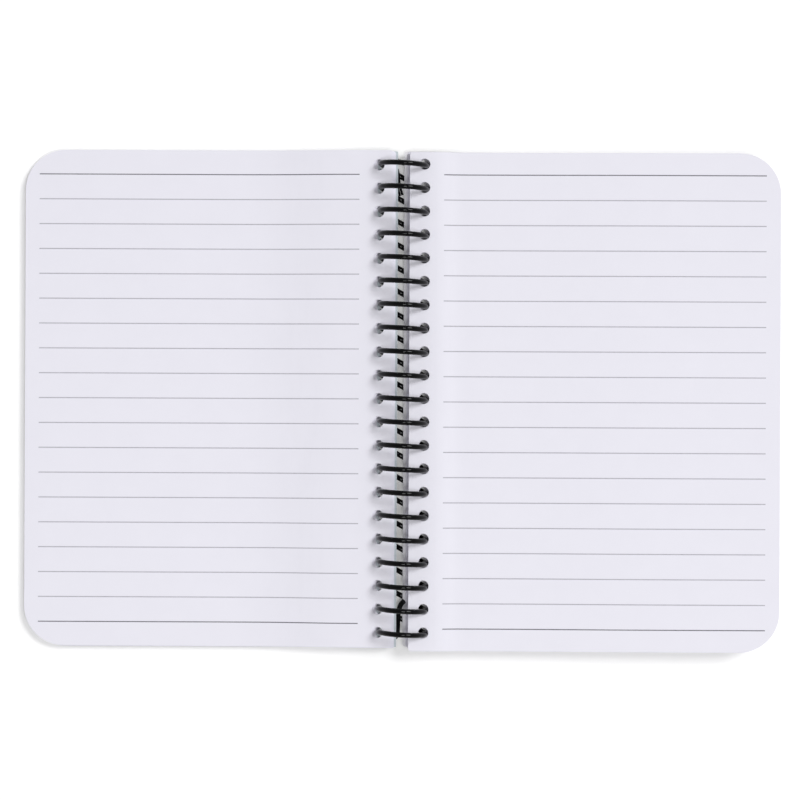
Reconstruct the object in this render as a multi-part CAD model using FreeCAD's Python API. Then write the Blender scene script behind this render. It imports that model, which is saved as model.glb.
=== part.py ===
"""An open coil-bound notebook, lying flat with its first pages turned to the left.

Millimetres. +X is to the right across the open spread, +Y is up the pages and +Z is up
from the table. The coil runs along Y. A stack's own place across the spread is measured
outwards from the coil's axis, so that left and right are built by the same functions.
"""
import FreeCAD, Part
import math
import os

Vector = FreeCAD.Vector

# Sheets and covers, which are cut to one size
sheet_width = 134.2
sheet_length = 180.2
cover_width = sheet_width
cover_length = sheet_length
cover_thickness = 0.5
corner_radius = 14.5
inner_corner_radius = 1.0

# Punching: as many holes as the spine edge takes
coil_pitch = 8.467
hole_diameter = 4.1
hole_margin = 5.3
least_end_margin = 5.0
turn_count = 1 + math.floor((sheet_length - 2 * least_end_margin) / coil_pitch)

# Coil
wire_diameter = 1.9
coil_radius = 8.35
top_drift = 0.95

# Left stack: the turned pages on the open front cover
left_flat_height = 4.0
left_spine_lift = 4.1
left_spine_height = 7.6
left_level_end = 11.0
left_table_start = 26.0
left_rest_start = 60.0
left_sheet_slack = 0.75
left_bottom_slack = 1.1
front_cover_slack = 0.25

# Right stack: the pages still to come on the back cover
right_fore_height = 11.0
right_dip_height = 9.4
right_spine_lift = 3.2
right_spine_height = 10.4
right_level_end = 11.0
right_dip_place = 22.0
right_crest_place = 105.0
back_table_start = 24.0
right_top_slack = -0.75
right_bottom_slack = 0.4
right_hole_shift = -0.3
right_hole_rise = 0.5
right_sheet_drop = 1.2
back_cover_slack = -0.45

# How far each cover swings away from its sheets before the coil's next turn stops it
cover_swing = 8.0

# Ruling: lines from just outside the holes to near the outer edge, down the whole page
line_pitch = 9.04
line_width = 0.36
line_inset = 7.1
line_end_margin = 5.8
least_ruling_margin = 8.0
ink_height = 0.08
line_length = sheet_width - hole_margin - line_inset - line_end_margin
line_count = 1 + math.floor((sheet_length - 2 * least_ruling_margin) / line_pitch)

# Worked out from the sizes above
tiny = 1e-6
wire_radius = wire_diameter / 2
hole_radius = hole_diameter / 2
axis_height = coil_radius + wire_radius
under_drift = coil_pitch + top_drift
turn_places = [(turn_count - 1) * coil_pitch / 2 - turn * coil_pitch for turn in range(turn_count)]


def circle_reach(height):
    """Distance from the coil's axis to its wire, level with a height."""
    return math.sqrt(coil_radius ** 2 - (height - axis_height) ** 2)


def drop_angle(height):
    """Angle of the wire below the level of the axis where it passes a height."""
    return math.asin((axis_height - height) / coil_radius)


def under_shift(angle):
    """How far the wire has moved along the spine at an angle below the axis."""
    return under_drift / 2 * (1 - math.cos(angle))


# Heights where the covers meet the coil, and how far along the spine their wire has moved
front_cover_height = left_spine_lift + cover_thickness / 2
back_cover_height = right_spine_lift + cover_thickness / 2
swing_angle = math.radians(cover_swing)
front_angle = drop_angle(front_cover_height)
back_angle = drop_angle(back_cover_height)
left_row = top_drift / 2
right_row = -top_drift / 2

# Where each row of holes lies along the spine, from its own turn of the coil
left_sheet_row = left_row - top_drift / 2
front_cover_row = left_row - under_shift(front_angle + swing_angle) / 2
back_cover_row = right_row + (under_shift(back_angle) + under_shift(back_angle + swing_angle)) / 2
right_sheet_row = right_row + right_hole_rise

# Middles of the outlines along the spine, then the shift that centres them all
middles = {
    "front_cover": (front_cover_row, cover_length),
    "left_pages": (left_sheet_row, sheet_length),
    "right_pages": (right_sheet_row - right_sheet_drop, sheet_length),
    "back_cover": (back_cover_row - right_sheet_drop, cover_length),
}
highest = max(middle + length / 2 for middle, length in middles.values())
lowest = min(middle - length / 2 for middle, length in middles.values())
spine_y = -(highest + lowest) / 2


def inner_reach(height, slack):
    """Where a sheet's inner edge lies at the spine, out from the coil's axis."""
    return circle_reach(height) + slack - hole_margin


# Inner edges of the bottom, middle and top sheet of each stack, at the spine
left_heights = [
    left_spine_lift + cover_thickness,
    (left_spine_lift + cover_thickness + left_spine_height) / 2,
    left_spine_height,
]
left_slacks = [left_bottom_slack, (left_bottom_slack + left_sheet_slack) / 2, left_sheet_slack]
left_inner = [inner_reach(height, slack) for height, slack in zip(left_heights, left_slacks)]
right_heights = [
    right_spine_lift + cover_thickness,
    (right_spine_lift + cover_thickness + right_spine_height) / 2,
    right_spine_height,
]
right_slacks = [right_bottom_slack, (right_bottom_slack + right_top_slack) / 2, right_top_slack]
right_inner = [inner_reach(height, slack) for height, slack in zip(right_heights, right_slacks)]
front_cover_inner = inner_reach(front_cover_height, front_cover_slack)
back_cover_inner = inner_reach(back_cover_height, back_cover_slack)
left_reach = max(max(left_inner) + sheet_width, front_cover_inner + cover_width)
right_reach = max(max(right_inner) + sheet_width, back_cover_inner + cover_width)
spine_x = (left_reach - right_reach) / 2


def place(side, reach, y, height):
    """A point given by its distance out from the coil's axis, on one side of it."""
    return Vector(spine_x + side * reach, y, height)


def line(side, start, end):
    """A straight stretch of a profile."""
    return Part.makeLine(place(side, start[0], 0, start[1]), place(side, end[0], 0, end[1]))


def bow(side, start, middle, end):
    """A round stretch of a profile through three places."""
    points = [place(side, reach, 0, height) for reach, height in (start, middle, end)]
    return Part.Arc(*points).toShape()


def swell(side, start, end):
    """A soft rise or fall of a profile that leaves and arrives level."""
    middle = (start[0] + end[0]) / 2
    poles = [start, (middle, start[1]), (middle, end[1]), end]
    curve = Part.BezierCurve()
    curve.setPoles([place(side, reach, 0, height) for reach, height in poles])
    return curve.toShape()


def resting_line(side, inner, outer, high, low):
    """A leaf's line from the coil to its outer edge, level at the spine and on what it lies on."""
    return [line(side, (inner, high[1]), high), swell(side, high, low), line(side, low, (outer, low[1]))]


def left_top(side):
    """The upper line of the left stack."""
    high = (left_level_end, left_spine_height)
    low = (left_rest_start, left_flat_height)
    return resting_line(side, left_inner[-1], left_inner[-1] + sheet_width, high, low)


def right_top(side):
    """The upper line of the right stack, which dips after the spine and swells to the fore-edge."""
    inner = (right_inner[-1], right_spine_height)
    high = (right_level_end, right_spine_height)
    dip = (right_dip_place, right_dip_height)
    crest = (right_crest_place, right_fore_height)
    outer = (right_inner[-1] + sheet_width, right_fore_height)
    return [
        line(side, inner, high),
        swell(side, high, dip),
        swell(side, dip, crest),
        line(side, crest, outer),
    ]


def slab(edges, middle, length):
    """A profile carried along the spine for a length, centred on a place."""
    face = Part.Face(Part.Wire(Part.__sortEdges__(edges)))
    face.translate(Vector(0, middle - length / 2, 0))
    return face.extrude(Vector(0, length, 0))


def block_inner(block, side):
    """How far out a block's nearest edge to the coil's axis lies."""
    nearest = block.BoundBox.XMin if side > 0 else block.BoundBox.XMax
    return side * (nearest - spine_x)


def round_corners(block, side, outer_reach, middle, length):
    """Rounds a block's four corners as they are seen from above."""
    outer_x = spine_x + side * outer_reach
    inner_x = spine_x - side * (coil_radius + hole_margin)
    inner_edge = spine_x + side * block_inner(block, side)
    low = middle - length / 2
    height = block.BoundBox.ZMax + 1
    plan = Part.makeBox(
        abs(outer_x - inner_x), length, height + 1, Vector(min(outer_x, inner_x), low, -1)
    )
    outer_edges = [
        edge for edge in plan.Edges
        if abs(edge.BoundBox.XMin - outer_x) < tiny and abs(edge.BoundBox.XMax - outer_x) < tiny
        and edge.BoundBox.YLength < tiny
    ]
    rounded = block.common(plan.makeFillet(corner_radius, outer_edges))
    for end in (-1, 1):
        corner_y = middle + end * length / 2
        nick = Part.makeBox(
            inner_corner_radius, inner_corner_radius, height + 1,
            Vector(
                inner_edge if side > 0 else inner_edge - inner_corner_radius,
                corner_y - inner_corner_radius if end > 0 else corner_y, -1,
            ),
        )
        post = Part.makeCylinder(
            inner_corner_radius, height + 1,
            Vector(inner_edge + side * inner_corner_radius, corner_y - end * inner_corner_radius, -1),
        )
        rounded = rounded.cut(nick.cut(post))
    return rounded


def ring_punches(slack, row):
    """Round channels on the coil's own circle, one at each turn, for leaves that swing on it."""
    return [
        Part.makeTorus(
            coil_radius + slack, hole_radius, Vector(spine_x, spine_y + y + row, axis_height), Vector(0, 1, 0)
        )
        for y in turn_places
    ]


def half_turn(start, end, side_up, depth):
    """Edges of half a turn between two holes, level with the axis at both ends.

    Over the top it is one round arc. Underneath it is a round flank, a flatter belly and
    a round flank again, as deep as the coil's own circle.
    """
    centre = (start + end) * 0.5
    reach = (end - start).Length / 2
    across = (start - end).normalize()

    def spot(out, up):
        """A point of the half turn, out from its middle and up or down."""
        return centre + across * out + Vector(0, 0, side_up * up)

    if side_up > 0:
        return [Part.Arc(start, spot(0, reach), end).toShape()]
    chord = math.hypot(reach, depth)
    flank_radius = (chord - (reach - depth)) / 2 * chord / reach
    belly_radius = (reach ** 2 + depth ** 2 - 2 * reach * flank_radius) / (2 * (depth - flank_radius))
    lean = math.atan2(belly_radius - depth, reach - flank_radius)
    bend = lean / 2

    def on_flank(angle):
        """A place on the first round flank."""
        return reach - flank_radius + flank_radius * math.cos(angle), flank_radius * math.sin(angle)

    def on_belly(angle):
        """A place on the flatter belly."""
        return belly_radius * math.cos(angle), depth - belly_radius + belly_radius * math.sin(angle)

    meet = on_flank(lean)
    mid_flank = on_flank(bend)
    bottom = (0, depth)
    mid_belly = on_belly((lean + math.pi / 2) / 2)

    def mirror(point):
        """The same place on the half turn's other side."""
        return -point[0], point[1]

    return [
        Part.Arc(start, spot(*mid_flank), spot(*meet)).toShape(),
        Part.Arc(spot(*meet), spot(*mid_belly), spot(*bottom)).toShape(),
        Part.Arc(spot(*bottom), spot(*mirror(mid_belly)), spot(*mirror(meet))).toShape(),
        Part.Arc(spot(*mirror(meet)), spot(*mirror(mid_flank)), end).toShape(),
    ]


def left_gate(turn_y):
    """Where the wire stands level with the axis on the left of a turn."""
    return Vector(spine_x - coil_radius, spine_y + turn_y + left_row, axis_height)


def right_gate(turn_y):
    """Where the wire stands level with the axis on the right of a turn."""
    return Vector(spine_x + coil_radius, spine_y + turn_y + right_row, axis_height)


def over(turn_y):
    """Half a turn over the spine, from a right hole to a left one."""
    return half_turn(right_gate(turn_y), left_gate(turn_y), 1, coil_radius)


def under(turn_y):
    """Half a turn under the spine, from a left hole down to the next right hole."""
    return half_turn(left_gate(turn_y), right_gate(turn_y - coil_pitch), -1, coil_radius)


def round_bar(edges, start, direction, radius):
    """A round bar along a chain of arcs that run on into each other."""
    ring = Part.Wire(Part.makeCircle(radius, start, direction))
    return Part.Wire(edges).makePipeShell([ring], True, False)


def make_coil():
    """The whole coil, from a quarter turn before its first hole to one after its last."""
    first = turn_places[0]
    head = under(first + coil_pitch)[2:]
    edges = list(head)
    for y in turn_places[:-1]:
        edges += over(y) + under(y)
    edges += over(turn_places[-1]) + under(turn_places[-1])[:2]
    start = head[0].valueAt(head[0].FirstParameter)
    direction = head[0].tangentAt(head[0].FirstParameter)
    coil = round_bar(edges, start, direction, wire_radius)
    length = sum(edge.Length for edge in edges)
    section = math.pi * wire_radius ** 2
    print("coil length %.1f mm, volume %.2f of %.2f" % (length, coil.Volume, section * length))
    return coil


def path_punches():
    """Round channels along the wire's own way down through the right stack."""
    punches = []
    for y in turn_places:
        way = under(y + coil_pitch)[2:] + [half_over(y)]
        start = way[0].valueAt(way[0].FirstParameter)
        direction = way[0].tangentAt(way[0].FirstParameter)
        punch = round_bar(way, start, direction, hole_radius)
        punch.translate(Vector(right_hole_shift, right_hole_rise, 0))
        punches.append(punch)
    return punches


def half_over(turn_y):
    """The right-hand half of a turn's arc over the top."""
    arc = over(turn_y)[0]
    middle = (arc.FirstParameter + arc.LastParameter) / 2
    return arc.Curve.toShape(arc.FirstParameter, middle)


def make_cover(side, inner, spine_lift, level_end, table_start, middle, punches):
    """A punched card that lies on the table and is lifted to the coil at its spine edge."""
    outer = inner + cover_width
    edges = []
    for lift in (0, cover_thickness):
        edges += resting_line(side, inner, outer, (level_end, spine_lift + lift), (table_start, lift))
    edges.append(line(side, (outer, 0), (outer, cover_thickness)))
    edges.append(line(side, (inner, spine_lift), (inner, spine_lift + cover_thickness)))
    card = slab(edges, middle, cover_length)
    card = round_corners(card, side, outer, middle, cover_length)
    return card.cut(Part.makeCompound(punches))


def make_front_cover():
    """The front cover, turned over to the left."""
    return make_cover(
        -1, front_cover_inner, left_spine_lift, left_level_end, left_table_start,
        spine_y + middles["front_cover"][0], ring_punches(front_cover_slack, front_cover_row),
    )


def make_back_cover():
    """The back cover, under the right stack."""
    return make_cover(
        1, back_cover_inner, right_spine_lift, right_level_end, back_table_start,
        spine_y + middles["back_cover"][0], ring_punches(back_cover_slack, back_cover_row),
    )


def fanned_end(side, reaches, heights):
    """A stack's end, where the coil fans the sheets out from each other."""
    return bow(side, *zip(reaches, heights))


def make_left_pages():
    """The turned sheets, lying on the front cover."""
    side = -1
    outer = [reach + sheet_width for reach in left_inner]
    flat = [cover_thickness, (cover_thickness + left_flat_height) / 2, left_flat_height]
    edges = left_top(side)
    high = (left_level_end, left_spine_lift + cover_thickness)
    edges += resting_line(side, left_inner[0], outer[0], high, (left_table_start, cover_thickness))
    edges.append(fanned_end(side, left_inner, left_heights))
    edges.append(fanned_end(side, outer, flat))
    middle = spine_y + middles["left_pages"][0]
    stack = slab(edges, middle, sheet_length)
    stack = round_corners(stack, side, outer[-1], middle, sheet_length)
    return stack.cut(Part.makeCompound(ring_punches(left_sheet_slack, left_sheet_row)))


def make_right_pages():
    """The sheets still to come, lying on the back cover."""
    side = 1
    outer = [reach + sheet_width for reach in right_inner]
    flat = [cover_thickness, (cover_thickness + right_fore_height) / 2, right_fore_height]
    edges = right_top(side)
    high = (right_level_end, right_spine_lift + cover_thickness)
    edges += resting_line(side, right_inner[0], outer[0], high, (back_table_start, cover_thickness))
    edges.append(fanned_end(side, right_inner, right_heights))
    edges.append(fanned_end(side, outer, flat))
    middle = spine_y + middles["right_pages"][0]
    stack = slab(edges, middle, sheet_length)
    stack = round_corners(stack, side, max(outer), middle, sheet_length)
    return stack.cut(Part.makeCompound(path_punches()))


def ruling(side, top_edges, start, middle):
    """The printed lines of one page, as thin strips that follow its top sheet."""
    raised = [edge.translated(Vector(0, 0, ink_height)) for edge in top_edges]
    inner = top_edges[0].Vertexes[0].Point
    outer = top_edges[-1].Vertexes[-1].Point
    ends = [Part.makeLine(point, point + Vector(0, 0, ink_height)) for point in (inner, outer)]
    band = slab(top_edges + raised + ends, 0, line_width)
    near = spine_x + side * start
    far = near + side * line_length
    window = Part.makeBox(
        line_length, line_width * 2, coil_radius * 4, Vector(min(near, far), -line_width, -coil_radius)
    )
    strip = band.common(window)
    first = (line_count - 1) * line_pitch / 2
    strips = [strip.translated(Vector(0, middle + first - row * line_pitch, 0)) for row in range(line_count)]
    return Part.makeCompound([solid for copy in strips for solid in copy.Solids])


def make_left_ruling():
    """The lines of the left-hand page."""
    start = circle_reach(left_spine_height) + left_sheet_slack + line_inset
    return ruling(-1, left_top(-1), start, spine_y + middles["left_pages"][0])


def make_right_ruling():
    """The lines of the right-hand page."""
    start = circle_reach(right_spine_height) + right_top_slack + line_inset
    return ruling(1, right_top(1), start, spine_y + middles["right_pages"][0])


pieces = {
    "front_cover": make_front_cover,
    "left_pages": make_left_pages,
    "left_ruling": make_left_ruling,
    "right_pages": make_right_pages,
    "right_ruling": make_right_ruling,
    "back_cover": make_back_cover,
    "spiral_coil": make_coil,
}

os.makedirs("parts", exist_ok=True)
for name, make in pieces.items():
    shape = make()
    shape.exportStep("parts/" + name + ".step")
    box = shape.BoundBox
    print(
        "%-13s solids %2d valid %s  x %.2f %.2f  y %.2f %.2f  z %.2f %.2f  volume %.1f"
        % (name, len(shape.Solids), shape.isValid(), box.XMin, box.XMax, box.YMin, box.YMax,
           box.ZMin, box.ZMax, shape.Volume)
    )
print("coil axis x %.3f z %.3f, spine y %.3f" % (spine_x, axis_height, spine_y))
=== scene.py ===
"""The looks of an open coil-bound notebook, seen from straight above on a white table."""
import math
import random

import bmesh
import bpy
from mathutils import Matrix, Vector


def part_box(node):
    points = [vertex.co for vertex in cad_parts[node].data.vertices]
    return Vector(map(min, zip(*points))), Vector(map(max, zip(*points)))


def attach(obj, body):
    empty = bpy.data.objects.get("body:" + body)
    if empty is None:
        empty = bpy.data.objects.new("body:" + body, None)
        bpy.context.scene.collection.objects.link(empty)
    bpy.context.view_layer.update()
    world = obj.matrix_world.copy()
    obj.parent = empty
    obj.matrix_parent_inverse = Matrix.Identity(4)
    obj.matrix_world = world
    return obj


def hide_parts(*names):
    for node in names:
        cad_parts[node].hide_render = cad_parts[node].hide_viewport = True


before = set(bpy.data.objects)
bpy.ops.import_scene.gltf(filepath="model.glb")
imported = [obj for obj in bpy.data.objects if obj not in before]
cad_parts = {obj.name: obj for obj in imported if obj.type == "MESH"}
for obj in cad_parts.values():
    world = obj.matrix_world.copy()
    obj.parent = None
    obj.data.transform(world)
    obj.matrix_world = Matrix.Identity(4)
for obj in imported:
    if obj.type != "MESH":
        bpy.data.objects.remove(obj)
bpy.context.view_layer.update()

# The back cover
# A sheet of pale grey card as large as the pages, punched along its spine edge. It lies on the
# table under the right-hand sheets, and the coil lifts its punched edge.
MM = 0.001
coil_low, coil_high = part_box("spiral_coil")
back_low, back_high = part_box("back_cover")
axis = (coil_low + coil_high) / 2
wire_radius = 0.95 * MM
coil_radius = (coil_high.x - coil_low.x) / 2 - wire_radius
coil_pitch = 8.467 * MM
turn_count = 21
turn_middles = [axis.y + coil_pitch * ((turn_count - 1) / 2 - turn) for turn in range(turn_count)]
hole_radius = 2.05 * MM
card_thickness = 0.5 * MM
corner_radius = 14.5 * MM
inner_corner = 1.0 * MM


def swell(reach, near, near_height, far, far_height):
    """Height at a reach from the axis, where a leaf bends softly from one level to another.

    The bend is a Bezier curve with level handles half as long as the bend. Newton's method finds
    the step along it that lies at the reach.
    """
    if reach <= near:
        return near_height
    if reach >= far:
        return far_height
    share = (reach - near) / (far - near)
    step = share
    for _ in range(8):
        step -= (1.5 * step - 1.5 * step ** 2 + step ** 3 - share) / (1.5 - 3 * step + 3 * step ** 2)
    return near_height + (far_height - near_height) * (3 * step ** 2 - 2 * step ** 3)


def circle_reach(height):
    """Distance from the coil's axis to its wire, level with a height."""
    return math.sqrt(coil_radius ** 2 - (height - axis.z) ** 2)


def flat_leaf(width, length, thickness, hole_rise, stations, hole_sides, margin):
    """A flat punched leaf with round corners: x runs out from its spine edge, y along it.

    The row of holes lies a margin in from that edge, and a hole rise up from the leaf's middle.
    The stations are the places along x where the leaf is divided, so that it can bend.
    """
    leaf = bmesh.new()
    half = coil_pitch / 2
    seam = half / 1000
    on_line = half / 100
    bmesh.ops.create_circle(leaf, radius=hole_radius, segments=hole_sides)
    hole_edges = leaf.edges[:]
    bmesh.ops.create_circle(leaf, radius=half * math.sqrt(2), segments=4)
    bmesh.ops.rotate(leaf, verts=leaf.verts[:], cent=(0, 0, 0), matrix=Matrix.Rotation(math.pi / 4, 3, "Z"))
    sides = [edge for edge in leaf.edges if edge not in hole_edges]
    bmesh.ops.subdivide_edges(leaf, edges=sides, cuts=hole_sides // 4 - 1)
    bmesh.ops.bridge_loops(leaf, edges=leaf.edges[:])
    cell = leaf.verts[:] + leaf.edges[:] + leaf.faces[:]
    for turn in range(1, turn_count):
        copy = bmesh.ops.duplicate(leaf, geom=cell)["geom"]
        verts = [item for item in copy if isinstance(item, bmesh.types.BMVert)]
        bmesh.ops.translate(leaf, verts=verts, vec=(0, -coil_pitch * turn, 0))
    bmesh.ops.remove_doubles(leaf, verts=leaf.verts[:], dist=seam)
    row = (turn_count - 1) * coil_pitch / 2 + hole_rise
    bmesh.ops.translate(leaf, verts=leaf.verts[:], vec=(margin, row, 0))

    def rim(axis_index, value):
        """The open edges that lie on one straight line."""
        return [
            edge for edge in leaf.edges
            if edge.is_boundary and all(abs(vert.co[axis_index] - value) < on_line for vert in edge.verts)
        ]

    row_ends = (row + half, row + half - turn_count * coil_pitch)
    for edge_now, edge_wanted in zip(row_ends, (length / 2, -length / 2)):
        for vert in {vert for edge in rim(1, edge_now) for vert in edge.verts}:
            vert.co.y = edge_wanted
    for item in bmesh.ops.extrude_edge_only(leaf, edges=rim(0, margin - half))["geom"]:
        if isinstance(item, bmesh.types.BMVert):
            item.co.x = 0
    shoulder = rim(0, margin + half)
    shoulder_verts = {vert for edge in shoulder for vert in edge.verts}
    top = max(shoulder_verts, key=lambda vert: vert.co.y)
    bottom = min(shoulder_verts, key=lambda vert: vert.co.y)
    far = [leaf.verts.new((width, end * length / 2, 0)) for end in (1, -1)]
    border = [leaf.edges.new(pair) for pair in ((top, far[0]), (far[0], far[1]), (far[1], bottom))]
    bmesh.ops.contextual_create(leaf, geom=shoulder + border)
    bmesh.ops.bevel(
        leaf, geom=far, offset=corner_radius, offset_type="OFFSET", segments=12, profile=0.5,
        affect="VERTICES", material=-1,
    )
    near = [vert for vert in leaf.verts if vert.co.x < on_line and abs(vert.co.y) > length / 2 - on_line]
    bmesh.ops.bevel(
        leaf, geom=near, offset=inner_corner, offset_type="OFFSET", segments=3, profile=0.5,
        affect="VERTICES", material=-1,
    )
    for station in stations:
        whole = leaf.verts[:] + leaf.edges[:] + leaf.faces[:]
        bmesh.ops.bisect_plane(leaf, geom=whole, plane_co=(station, 0, 0), plane_no=(1, 0, 0))
    bmesh.ops.recalc_face_normals(leaf, faces=leaf.faces[:])
    if leaf.faces[0].normal.z < 0:
        bmesh.ops.reverse_faces(leaf, faces=leaf.faces[:])
    bmesh.ops.solidify(leaf, geom=leaf.faces[:], thickness=thickness)
    lowest = min(vert.co.z for vert in leaf.verts)
    bmesh.ops.translate(leaf, verts=leaf.verts[:], vec=(0, 0, -lowest))
    mesh = bpy.data.meshes.new("flat_leaf")
    leaf.to_mesh(mesh)
    leaf.free()
    return mesh


def add_piece(name, shape):
    """Makes an object of a finished bmesh."""
    mesh = bpy.data.meshes.new(name)
    shape.to_mesh(mesh)
    shape.free()
    piece = bpy.data.objects.new(name, mesh)
    bpy.context.collection.objects.link(piece)
    return piece


def lay_leaves(name, side, flat, places):
    """Lays copies of a flat leaf on each other. A place is (spine reach, middle, height rule)."""
    pile = bmesh.new()
    for inner, middle, height_at in places:
        first = len(pile.verts)
        pile.from_mesh(flat)
        pile.verts.ensure_lookup_table()
        for vert in pile.verts[first:]:
            reach = inner + vert.co.x
            vert.co = (axis.x + side * reach, middle + vert.co.y, height_at(reach) + vert.co.z)
    if side < 0:
        bmesh.ops.reverse_faces(pile, faces=pile.faces[:])
    return add_piece(name, pile)


def soften(piece, angle):
    """Smooth shading, apart from edges sharper than an angle."""
    bpy.ops.object.select_all(action="DESELECT")
    piece.select_set(True)
    bpy.context.view_layer.objects.active = piece
    bpy.ops.object.shade_smooth_by_angle(angle=math.radians(angle))


class Signal:
    """One output of a finish's nodes, used in sums like a number."""

    def __init__(self, tree, socket):
        self.tree = tree
        self.socket = socket

    def sum_with(self, operation, first, second):
        node = self.tree.nodes.new("ShaderNodeMath")
        node.operation = operation
        for index, value in enumerate((first, second)):
            if isinstance(value, Signal):
                self.tree.links.new(value.socket, node.inputs[index])
            else:
                node.inputs[index].default_value = value
        return Signal(self.tree, node.outputs[0])

    def __add__(self, other):
        return self.sum_with("ADD", self, other)

    def __radd__(self, other):
        return self.sum_with("ADD", other, self)

    def __sub__(self, other):
        return self.sum_with("SUBTRACT", self, other)

    def __rsub__(self, other):
        return self.sum_with("SUBTRACT", other, self)

    def __mul__(self, other):
        return self.sum_with("MULTIPLY", self, other)

    def __rmul__(self, other):
        return self.sum_with("MULTIPLY", other, self)


class Finish:
    """A material whose shader and pattern are built from nodes."""

    def __init__(self, name, **shader_values):
        self.material = bpy.data.materials.new(name)
        self.material.use_nodes = True
        self.tree = self.material.node_tree
        self.shader = self.tree.nodes["Principled BSDF"]
        for socket, value in shader_values.items():
            self.shader.inputs[socket.replace("_", " ")].default_value = value
        self.place = self.node("ShaderNodeTexCoord", output="Object")

    def node(self, kind, settings=None, sockets=None, output=0):
        """Adds a node: its settings first, then the values or links of its sockets."""
        node = self.tree.nodes.new(kind)
        for setting, value in (settings or {}).items():
            setattr(node, setting, value)
        for socket, value in (sockets or {}).items():
            if isinstance(value, Signal):
                self.tree.links.new(value.socket, node.inputs[socket])
            else:
                node.inputs[socket].default_value = value
        return Signal(self.tree, node.outputs[output])

    def noise(self, grain, detail=3.0, stretch=(1, 1, 1)):
        """Soft random patches about as wide as a grain, in metres."""
        spread = self.node(
            "ShaderNodeMapping", sockets={"Vector": self.place, "Scale": [part / grain for part in stretch]}
        )
        return self.node("ShaderNodeTexNoise", sockets={"Vector": spread, "Scale": 1.0, "Detail": detail})

    def mix(self, share, first, second):
        """A colour between two colours, of which the first may be a pattern."""
        start = first if isinstance(first, Signal) else (*first, 1.0)
        return self.node(
            "ShaderNodeMix", {"data_type": "RGBA"}, {0: share, 6: start, 7: (*second, 1.0)}, output=2
        )

    def feed(self, socket, signal):
        self.tree.links.new(signal.socket, self.shader.inputs[socket])

    def bump(self, height, depth, strength):
        self.feed("Normal", self.node(
            "ShaderNodeBump", sockets={"Height": height, "Distance": depth, "Strength": strength}
        ))


def card_finish(name, dark, light):
    """Matt card with fine flecks drawn out along the spine, and wide soft clouds."""
    fleck_width = 0.6 * MM
    fleck_depth = 0.03 * MM
    cloud_width = 18 * MM
    finish = Finish(name, Roughness=0.6)
    flecks = finish.noise(fleck_width, 4.0, (1, 0.35, 1))
    clouds = finish.noise(cloud_width)
    shade = flecks * 0.6 + clouds * 0.4
    finish.feed("Base Color", finish.mix(shade, dark, light))
    finish.feed("Roughness", flecks * 0.2 + 0.5)
    finish.bump(flecks, fleck_depth, 0.35)
    return finish.material


back_grey_dark = (0.74, 0.735, 0.76)
back_grey_light = (0.83, 0.825, 0.85)
back_card = card_finish("back_cover_card", back_grey_dark, back_grey_light)
bend_start = 10 * MM
card_bend_step = 1.2 * MM
card_stations = [bend_start + step * card_bend_step for step in range(17)]
card_hole_sides = 24
back_margin = 5.45 * MM
back_spine_height = 3.2 * MM
back_spine_end = 11 * MM
back_table_start = 24 * MM
# The right-hand leaves sit this much lower along the spine than their row of holes.
right_drop = 1.2 * MM
back_inner = back_low.x - axis.x
cover_length = back_high.y - back_low.y
back_middle = (back_low.y + back_high.y) / 2


def back_cover_height(reach):
    return swell(reach, back_spine_end, back_spine_height, back_table_start, 0)


flat_back = flat_leaf(
    back_high.x - back_low.x, cover_length, card_thickness, right_drop, card_stations, card_hole_sides,
    back_margin,
)
back_place = (back_inner, back_middle, back_cover_height)
back_cover = lay_leaves("back_cover_card", 1, flat_back, [back_place])
soften(back_cover, 30)
back_cover.data.materials.append(back_card)
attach(back_cover, "back_cover")
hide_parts("back_cover")

# The right-hand sheets
# Ruled sheets still to come, loose enough to swell towards the fore-edge. The coil fans their
# punched edges out, so the lowest sheets lie nearest its axis and a little up the spine.
pages_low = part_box("right_pages")[0]
right_width = 133.9 * MM
sheet_length = 180.2 * MM
sheet_hole_sides = 16
draw = random.Random(5)
right_count = 36
right_sheet = 0.165 * MM
right_spine_low = back_spine_height + card_thickness
right_spine_high = 10.4 * MM
right_dip_place = 22 * MM
right_dip_height = 9.4 * MM
right_crest_place = 105 * MM
right_crest_height = 11 * MM
right_margin = 5.3 * MM
# How far a hole's middle sits outside the coil's wire, in the lowest sheet and in the top one.
right_slacks = (0.4 * MM, -0.75 * MM)
leaf_play = 0.1 * MM
right_middle = pages_low.y + sheet_length / 2 + leaf_play
right_drift = 0.7 * MM


def right_top(reach):
    if reach < right_dip_place:
        return swell(reach, back_spine_end, right_spine_high, right_dip_place, right_dip_height)
    return swell(reach, right_dip_place, right_dip_height, right_crest_place, right_crest_height)


def right_place(share, play=leaf_play):
    """Where the sheet at a share of the stack's thickness lies."""
    spine_height = right_spine_low + share * (right_spine_high - right_spine_low)
    slack = right_slacks[0] + share * (right_slacks[1] - right_slacks[0])
    inner = circle_reach(spine_height) + slack - right_margin + draw.uniform(-play, play)
    middle = right_middle + right_drift * (1 - share) ** 3 + draw.uniform(-play, play)

    def height_at(reach):
        below = back_cover_height(reach) + card_thickness
        return below + share * (right_top(reach) - below) - right_sheet * share

    return inner, middle, height_at


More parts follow.
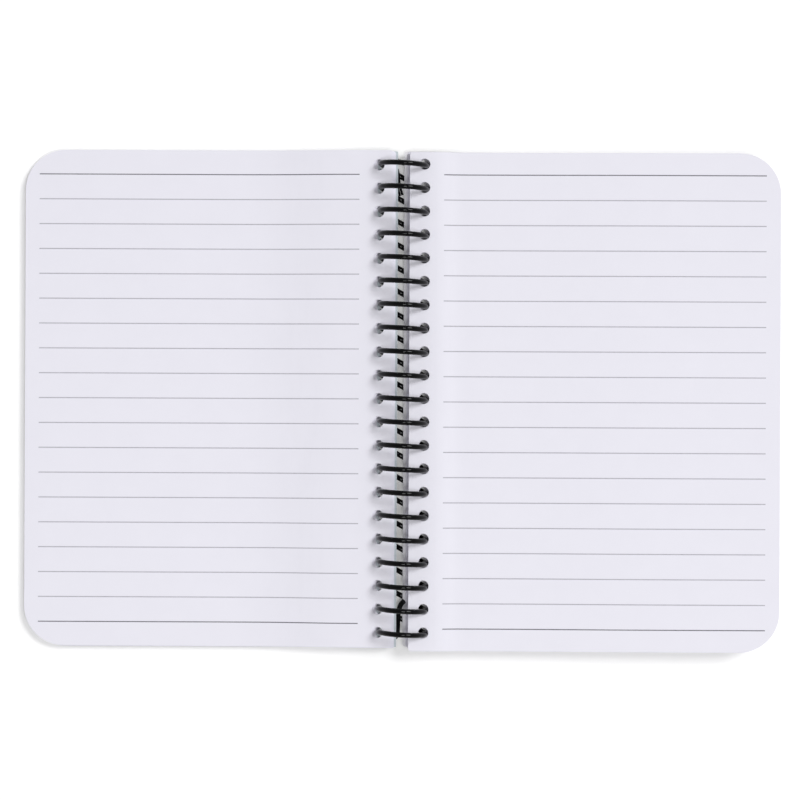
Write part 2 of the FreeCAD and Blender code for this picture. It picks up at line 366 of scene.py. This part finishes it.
def paper_finish():
    """Matt violet-white paper, with painted shade: darker level streaks between the sheets on a stack's
    edges.
    """
    fibre_width = 0.25 * MM
    fibre_depth = 0.012 * MM
    cloud_width = 9 * MM
    layer_height = 0.35 * MM
    gap_shade_level = 0.44
    gap_shade_contrast = 4
    finish = Finish("sheet_paper", Roughness=0.85)
    fibres = finish.noise(fibre_width, 4.0)
    clouds = finish.noise(cloud_width)
    shade = fibres * 0.5 + clouds * 0.5
    plain = finish.mix(shade, (0.785, 0.775, 0.85), (0.835, 0.825, 0.9))
    normal = finish.node("ShaderNodeTexCoord", output="Normal")
    facing = finish.node("ShaderNodeSeparateXYZ", sockets={"Vector": normal}, output="Z")
    layers = finish.noise(layer_height, 2.0, (0.015, 0.015, 1))
    # Painted shade between the sheets: on side faces only, level bands of noise darken the paper towards a
    # grey-violet shade colour.
    painted_gap_shade = (1 - facing * facing) * (layers - gap_shade_level) * gap_shade_contrast
    finish.feed("Base Color", finish.mix(painted_gap_shade, plain, (0.42, 0.41, 0.46)))
    finish.feed("Roughness", fibres * 0.15 + 0.75)
    finish.bump(fibres, fibre_depth, 0.4)
    return finish.material


paper = paper_finish()
right_bend_step = 2 * MM
right_swell_start = 32 * MM
right_swell_step = 9 * MM
right_stations = [bend_start + step * right_bend_step for step in range(8)]
right_stations += [right_swell_start + step * right_swell_step for step in range(9)]
flat_right = flat_leaf(
    right_width, sheet_length, right_sheet, right_drop, right_stations, sheet_hole_sides, right_margin
)
right_places = [right_place(leaf / (right_count - 1)) for leaf in range(right_count - 1)]
right_places.append(right_place(1, 0))
right_sheets = lay_leaves("right_sheets", 1, flat_right, right_places)
soften(right_sheets, 30)
right_sheets.data.materials.append(paper)
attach(right_sheets, "book")
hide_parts("right_pages")

# The right-hand ruling
# Nineteen fine grey lines printed on the top sheet, the first and the last a little darker.
# The ink is a thin layer that bends with its sheet.
line_count = 19
right_pitch = 9.12 * MM
line_length = 116.4 * MM
line_width = 0.36 * MM
right_line_start = 12.4 * MM
ink_lift = 0.012 * MM


def ruled_lines(name, side, place, stations, thickness, pitch, start):
    """Thin ribbons of ink that follow a page, from a start out from its spine edge."""
    inner, middle, height_at = place
    end = start + line_length
    spots = [start] + [spot for spot in stations if start < spot < end] + [end]

    def lie(spot):
        """Height of the page between the stations that it is bent at."""
        before = max(station for station in stations if station <= spot)
        after = min([station for station in stations if station > spot] + [end])
        share = (spot - before) / (after - before) if after > before else 0
        return (1 - share) * height_at(inner + before) + share * height_at(inner + after)

    ink = bmesh.new()
    for row in range(line_count):
        y = middle + ((line_count - 1) / 2 - row) * pitch
        near, far = (
            [
                ink.verts.new((axis.x + side * (inner + spot), y + edge * line_width / 2, lie(spot)))
                for spot in spots
            ]
            for edge in (-side, side)
        )
        for index in range(len(spots) - 1):
            face = ink.faces.new((near[index], near[index + 1], far[index + 1], far[index]))
            face.material_index = 1 if row in (0, line_count - 1) else 0
    bmesh.ops.translate(ink, verts=ink.verts[:], vec=(0, 0, thickness + ink_lift))
    bmesh.ops.solidify(ink, geom=ink.faces[:], thickness=ink_lift)
    return add_piece(name, ink)


def ink_finish(name, light, dark):
    """Matt print, a little uneven in its strength."""
    wear_width = 1.2 * MM
    finish = Finish(name, Roughness=0.7)
    wear = finish.noise(wear_width)
    finish.feed("Base Color", finish.mix(wear, dark, light))
    finish.feed("Roughness", wear * 0.2 + 0.6)
    return finish.material


ink_grey = ink_finish("ruling_ink", (0.5, 0.49, 0.54), (0.36, 0.35, 0.4))
ink_dark = ink_finish("ruling_ink_dark", (0.2, 0.195, 0.22), (0.1, 0.1, 0.12))
right_lines = ruled_lines(
    "right_lines", 1, right_places[-1], right_stations, right_sheet, right_pitch, right_line_start
)
right_lines.data.materials.append(ink_grey)
right_lines.data.materials.append(ink_dark)
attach(right_lines, "book")
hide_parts("right_ruling")

# The front cover
# The same card as the back, turned over to the left. It lies face down on the table, and the
# coil lifts its punched edge higher than the other cover's.
front_low, front_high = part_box("front_cover")
front_spine_height = 4.1 * MM
front_spine_end = 11 * MM
front_table_start = 26 * MM
# The front cover is pulled this much away from the axis, which leaves the gap at the spine.
front_pull = 0.4 * MM
front_margin = 4.4 * MM
front_inner = axis.x - front_high.x + front_pull
front_width = front_high.x - front_low.x - front_pull
front_middle = (front_low.y + front_high.y) / 2


def front_cover_height(reach):
    return swell(reach, front_spine_end, front_spine_height, front_table_start, 0)


front_blue_dark = (0.48, 0.54, 0.575)
front_blue_light = (0.6, 0.655, 0.69)
front_card = card_finish("front_cover_card", front_blue_dark, front_blue_light)
flat_front = flat_leaf(
    front_width, cover_length, card_thickness, 0, card_stations, card_hole_sides, front_margin
)
front_place = (front_inner, front_middle, front_cover_height)
front_cover = lay_leaves("front_cover_card", -1, flat_front, [front_place])
soften(front_cover, 30)
front_cover.data.materials.append(front_card)
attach(front_cover, "front_cover")
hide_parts("front_cover")

# The left-hand sheets
# The sheets already turned. They lie on the front cover and sink slowly to it from the coil,
# which carries their punched edges.
turned_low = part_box("left_pages")[0]
left_count = 20
left_sheet = 0.14 * MM
left_spine_low = front_spine_height + card_thickness
left_spine_high = 7.6 * MM
left_flat_height = 4.0 * MM
left_rest_start = 60 * MM
left_slacks = (0.5 * MM, 0.85 * MM)
left_margin = 4.6 * MM
left_width = 133.0 * MM
left_hole_rise = 0.12 * MM
left_drift = -0.45 * MM
left_middle = turned_low.y + sheet_length / 2 - leaf_play


def left_top(reach):
    return swell(reach, front_spine_end, left_spine_high, left_rest_start, left_flat_height)


def left_place(share, play=leaf_play):
    """Where the sheet at a share of the stack's thickness lies."""
    spine_height = left_spine_low + share * (left_spine_high - left_spine_low)
    slack = left_slacks[0] + share * (left_slacks[1] - left_slacks[0])
    inner = circle_reach(spine_height) + slack - left_margin + draw.uniform(-play, play)
    middle = left_middle + left_drift * (1 - share) + draw.uniform(-play, play)

    def height_at(reach):
        below = front_cover_height(reach) + card_thickness
        return below + share * (left_top(reach) - below) - left_sheet * share

    return inner, middle, height_at


left_bend_step = 1.6 * MM
left_stations = [bend_start + step * left_bend_step for step in range(12)]
left_stations += [place * MM for place in (33, 38, 43, 48, 53, 57, 90, 120)]
flat_left = flat_leaf(
    left_width, sheet_length, left_sheet, left_hole_rise, left_stations, sheet_hole_sides, left_margin
)
left_places = [left_place(leaf / (left_count - 1)) for leaf in range(left_count - 1)]
left_places.append(left_place(1, 0))
left_sheets = lay_leaves("left_sheets", -1, flat_left, left_places)
soften(left_sheets, 30)
left_sheets.data.materials.append(paper)
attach(left_sheets, "turned_pages")
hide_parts("left_pages")

# The left-hand ruling
# The same nineteen lines, printed on the back of the last turned sheet. They start a little
# nearer to the spine edge and stand a little closer together.
left_pitch = 9.04 * MM
left_line_start = 11.6 * MM
left_lines = ruled_lines(
    "left_lines", -1, left_places[-1], left_stations, left_sheet, left_pitch, left_line_start
)
left_lines.data.materials.append(ink_grey)
left_lines.data.materials.append(ink_dark)
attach(left_lines, "turned_pages")
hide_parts("left_ruling")

# The coil
# One length of black plastic filament, wound round and threaded through every leaf. Over the
# top its turns lie almost square to the spine, and underneath they step on to the next hole.
# Both ends are bent in and back along the spine, so that the coil can't wind itself out.
# How far a turn steps along the spine while it passes over the top.
top_drift = 0.95 * MM
# Control points on half a turn.
half_steps = 12


def coil_spot(angle, y):
    """A control point of the coil, as far outside it as the smooth curve cuts the corner there."""
    radius = coil_radius * 3 / (2 + math.cos(math.pi / half_steps))
    return Vector((axis.x + radius * math.cos(angle), y, axis.z + radius * math.sin(angle)))


def turn_spots(middle):
    """From the right of a turn over the top to the left, and under to the next turn's right."""
    spots = []
    for step in range(half_steps):
        angle = math.pi * step / half_steps
        spots.append(coil_spot(angle, middle - top_drift / 2 * math.cos(angle)))
    for step in range(half_steps):
        angle = math.pi * step / half_steps
        fall = (coil_pitch + top_drift) / 2 * (1 - math.cos(angle))
        spots.append(coil_spot(math.pi + angle, middle + top_drift / 2 - fall))
    return spots


def placed(points, row):
    """Listed places in millimetres: across from the axis, along the spine from a turn, height."""
    return [Vector((axis.x + x * MM, row + y * MM, z * MM)) for x, y, z in points]


head_end = [
    (-0.9, -10.6, 2.2), (-1.3, -9.3, 2.4), (-1.9, -7.4, 2.8), (-2.25, -5.0, 3.1), (-2.3, -2.6, 3.0),
    (-3.0, -0.6, 2.9), (-4.3, 0.4, 2.55), (-5.0, 1.5, 2.4), (-4.2, 2.6, 1.9), (-2.4, 2.1, 1.3),
    (0.0, 1.2, 0.96), (3.0, 1.3, 1.5), (5.7, 1.0, 3.1), (7.5, 0.05, 5.6), (8.35, -0.42, 8.5),
]
tail_end = [
    (-4.2, -1.9, 2.0), (-2.7, -2.6, 1.5), (-1.75, -1.7, 1.9), (-1.55, 0.4, 2.7), (-1.52, 2.9, 3.05),
    (-1.5, 5.2, 3.12), (-1.3, 7.0, 3.45), (-0.95, 8.4, 4.1), (-0.65, 9.5, 4.75), (-0.2, 10.4, 5.25),
    (0.65, 11.2, 5.75),
]
# Control points that the last turn keeps on its way under, before its tail.
under_points = 4
route = placed(head_end, turn_middles[0])
for middle in turn_middles[:-1]:
    route += turn_spots(middle)
route += turn_spots(turn_middles[-1])[:half_steps + under_points]
route += placed(tail_end, turn_middles[-1])

line = bpy.data.curves.new("coil_line", "CURVE")
line.dimensions = "3D"
spline = line.splines.new("NURBS")
spline.points.add(len(route) - 1)
for point, spot in zip(spline.points, route):
    point.co = (*spot, 1)
spline.order_u = 4
spline.use_endpoint_u = True
spline.resolution_u = 3
line.bevel_depth = wire_radius
line.bevel_resolution = 6
line.use_fill_caps = True
coil_curve = bpy.data.objects.new("coil_line", line)
bpy.context.collection.objects.link(coil_curve)
coil_mesh = bpy.data.meshes.new_from_object(coil_curve.evaluated_get(bpy.context.evaluated_depsgraph_get()))
bpy.data.objects.remove(coil_curve)
coil = bpy.data.objects.new("coil_filament", coil_mesh)
bpy.context.collection.objects.link(coil)
soften(coil, 40)


def filament_finish():
    """Glossy black plastic, a little uneven from the way it was drawn."""
    drawn_width = 0.8 * MM
    drawn_depth = 0.01 * MM
    finish = Finish("coil_plastic", Base_Color=(0.002, 0.002, 0.0025, 1), IOR=1.5, Specular_IOR_Level=0.17)
    drawn = finish.noise(drawn_width, 2.0, (1, 1, 0.4))
    finish.feed("Roughness", drawn * 0.05 + 0.045)
    finish.bump(drawn, drawn_depth, 0.08)
    return finish.material


coil.data.materials.clear()
coil.data.materials.append(filament_finish())
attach(coil, "book")
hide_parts("spiral_coil")

# The table
# A plain white surface that keeps the notebook's soft shadow. To the eye, and in the coil's
# gloss, it is a little brighter than the light on it makes it.
table_reach = 3.0
table_glow = 0.21
table_grain = 3 * MM
table_shape = bmesh.new()
bmesh.ops.create_grid(table_shape, x_segments=1, y_segments=1, size=table_reach)
table = add_piece("table", table_shape)
board = Finish("white_table", Base_Color=(0.86, 0.86, 0.86, 1), Roughness=0.9)
grain = board.noise(table_grain)
board.feed("Roughness", grain * 0.1 + 0.85)
seen = board.node("ShaderNodeLightPath", output="Is Camera Ray") + board.node(
    "ShaderNodeLightPath", output="Is Glossy Ray"
)
glow = board.node("ShaderNodeEmission", sockets={"Strength": seen * table_glow})
both = board.node("ShaderNodeAddShader", sockets={0: Signal(board.tree, board.shader.outputs[0]), 1: glow})
board.tree.links.new(both.socket, board.tree.nodes["Material Output"].inputs["Surface"])
table.data.materials.append(board.material)

# The light and the camera
# A soft key light from the far right, a narrow lamp almost overhead that draws a glint on each
# turn of the coil, a sky that is darker overhead than around, and a camera straight above.
sky_overhead = 0.18
sky_gain_below = 0.6
world = bpy.data.worlds.new("sky")
world.use_nodes = True
sky = world.node_tree
bpy.context.scene.world = world


def sky_node(kind, operation=None, first=None, second=None, output=0):
    """Adds a node to the sky: a number or another node's output goes in each of its sockets."""
    node = sky.nodes.new(kind)
    if operation:
        node.operation = operation
    for index, value in enumerate((first, second)):
        if isinstance(value, bpy.types.NodeSocket):
            sky.links.new(value, node.inputs[index])
        elif value is not None:
            node.inputs[index].default_value = value
    return node.outputs[output]


toward = sky_node("ShaderNodeTexCoord", output="Generated")
height = sky_node("ShaderNodeSeparateXYZ", first=toward, output="Z")
lowness = sky_node("ShaderNodeMath", "SUBTRACT", 1.0, height)
glare = sky_node("ShaderNodeMath", "MULTIPLY", lowness, sky_gain_below)
around = sky_node("ShaderNodeMath", "ADD", glare, sky_overhead)
by_eye = sky_node("ShaderNodeLightPath", output="Is Camera Ray")
strength = sky_node("ShaderNodeMath", "MAXIMUM", around, by_eye)
sky.links.new(strength, sky.nodes["Background"].inputs["Strength"])
sky.nodes["Background"].inputs["Color"].default_value = (1, 1, 1, 1)


def aimed(name, lamp, place):
    """A lamp at a place, turned to the middle of the notebook."""
    holder = bpy.data.objects.new(name, lamp)
    holder.location = place
    holder.rotation_euler = Vector(place).to_track_quat("Z", "Y").to_euler()
    bpy.context.collection.objects.link(holder)


key_place = (0.62, 0.38, 1.0)
strip_place = (0.1, -0.12, 1.0)
key = bpy.data.lights.new("window", "SUN")
key.energy = 1.5
key.angle = math.radians(20)
aimed("window", key, key_place)
strip = bpy.data.lights.new("strip_lamp", "AREA")
strip.shape = "RECTANGLE"
strip.size = 0.3
strip.size_y = 0.09
strip.energy = 2.6
aimed("strip_lamp", strip, strip_place)

picture_width = 800
focal_pixels = 2477
camera_place = (-0.5 * MM, 0.15 * MM, 905 * MM)
camera_roll = math.radians(0.25)
lens_data = bpy.data.cameras.new("camera")
lens_data.sensor_width = 36
lens_data.lens = lens_data.sensor_width * focal_pixels / picture_width
lens_data.clip_start = 0.01
camera = bpy.data.objects.new("camera", lens_data)
camera.location = camera_place
camera.rotation_euler = (0, 0, camera_roll)
bpy.context.collection.objects.link(camera)
bpy.context.scene.camera = camera
bpy.context.scene.view_settings.view_transform = "Standard"
